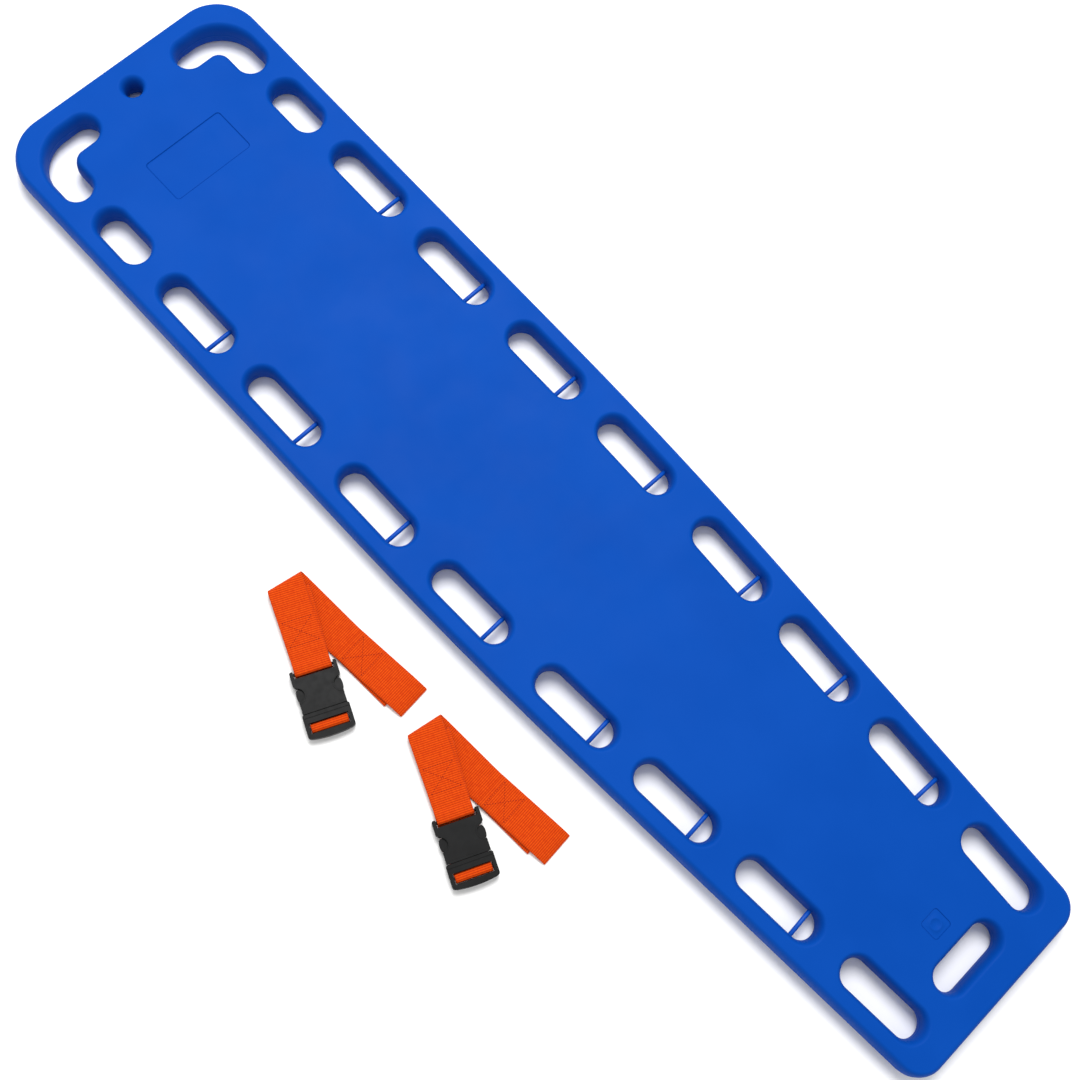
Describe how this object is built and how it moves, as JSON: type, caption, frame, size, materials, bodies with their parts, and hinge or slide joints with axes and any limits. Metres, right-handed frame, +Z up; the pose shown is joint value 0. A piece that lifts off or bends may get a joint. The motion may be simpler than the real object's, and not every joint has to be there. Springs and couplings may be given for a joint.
{
  "type": "spine board",
  "caption": "Flat foam-filled plastic rescue board with hand slots and strap pins round its edge, and folded webbing straps with side-release buckles lying beside it.",
  "frame": {"origin": "centre of the board's flat underside", "axes": "+X runs from the head end to the foot end, +Y to the left of a person lying face up on the board, +Z up out of the lying surface"},
  "size_m": [1.83, 0.6587, 0.045],
  "materials": {
    "board_plastic": "satin",
    "pin_plastic": "satin",
    "foam": "matte",
    "webbing": "matte",
    "buckle_plastic": "satin"
  },
  "bodies": {
    "board": {"board_shell": "board_plastic", "foam_core": "foam", "port_plug_head": "board_plastic", "port_plug_foot": "board_plastic", "pin_left_1": "pin_plastic", "pin_left_2": "pin_plastic", "pin_left_3": "pin_plastic", "pin_left_4": "pin_plastic", "pin_left_5": "pin_plastic", "pin_left_6": "pin_plastic", "pin_left_7": "pin_plastic", "pin_right_1": "pin_plastic", "pin_right_2": "pin_plastic", "pin_right_3": "pin_plastic", "pin_right_4": "pin_plastic", "pin_right_5": "pin_plastic", "pin_right_6": "pin_plastic", "pin_right_7": "pin_plastic"},
    "strap_1": {"strap_1_fixed_webbing": "webbing", "strap_1_adjustable_webbing": "webbing", "strap_1_buckle_socket": "buckle_plastic"},
    "strap_1_tongue": {"strap_1_buckle_tongue": "buckle_plastic"},
    "strap_1_arm_left": {"strap_1_latch_arm_left": "buckle_plastic"},
    "strap_1_arm_right": {"strap_1_latch_arm_right": "buckle_plastic"},
    "strap_2": {"strap_2_fixed_webbing": "webbing", "strap_2_adjustable_webbing": "webbing", "strap_2_buckle_socket": "buckle_plastic"},
    "strap_2_tongue": {"strap_2_buckle_tongue": "buckle_plastic"},
    "strap_2_arm_left": {"strap_2_latch_arm_left": "buckle_plastic"},
    "strap_2_arm_right": {"strap_2_latch_arm_right": "buckle_plastic"}
  },
  "joints": [
    {"name": "strap_1_lift", "type": "slide", "parent": "board", "child": "strap_1", "axis": [0, 0, 1], "range_m": [0, 0.12]},
    {"name": "strap_1_release", "type": "slide", "parent": "strap_1", "child": "strap_1_tongue", "axis": [0.91, -0.4147, 0], "range_m": [0, 0.045], "deforming": ["strap_1_adjustable_webbing", "strap_1_latch_arm_left", "strap_1_latch_arm_right"]},
    {"name": "strap_1_squeeze_left", "type": "hinge", "parent": "strap_1_tongue", "child": "strap_1_arm_left", "pos_m": [0.02136, -0.38623, 0.0092], "axis": [0, 0, 1], "range_deg": [0, 10], "stiffness_Nm_per_rad": 0.5},
    {"name": "strap_1_squeeze_right", "type": "hinge", "parent": "strap_1_tongue", "child": "strap_1_arm_right", "pos_m": [0.00809, -0.41535, 0.0092], "axis": [0, 0, -1], "range_deg": [0, 10], "stiffness_Nm_per_rad": 0.5},
    {"name": "strap_2_lift", "type": "slide", "parent": "board", "child": "strap_2", "axis": [0, 0, 1], "range_m": [0, 0.12]},
    {"name": "strap_2_release", "type": "slide", "parent": "strap_2", "child": "strap_2_tongue", "axis": [0.91, -0.4147, 0], "range_m": [0, 0.045], "deforming": ["strap_2_adjustable_webbing", "strap_2_latch_arm_left", "strap_2_latch_arm_right"]},
    {"name": "strap_2_squeeze_left", "type": "hinge", "parent": "strap_2_tongue", "child": "strap_2_arm_left", "pos_m": [0.29976, -0.37923, 0.0092], "axis": [0, 0, 1], "range_deg": [0, 10], "stiffness_Nm_per_rad": 0.5},
    {"name": "strap_2_squeeze_right", "type": "hinge", "parent": "strap_2_tongue", "child": "strap_2_arm_right", "pos_m": [0.28649, -0.40835, 0.0092], "axis": [0, 0, -1], "range_deg": [0, 10], "stiffness_Nm_per_rad": 0.5}
  ]
}
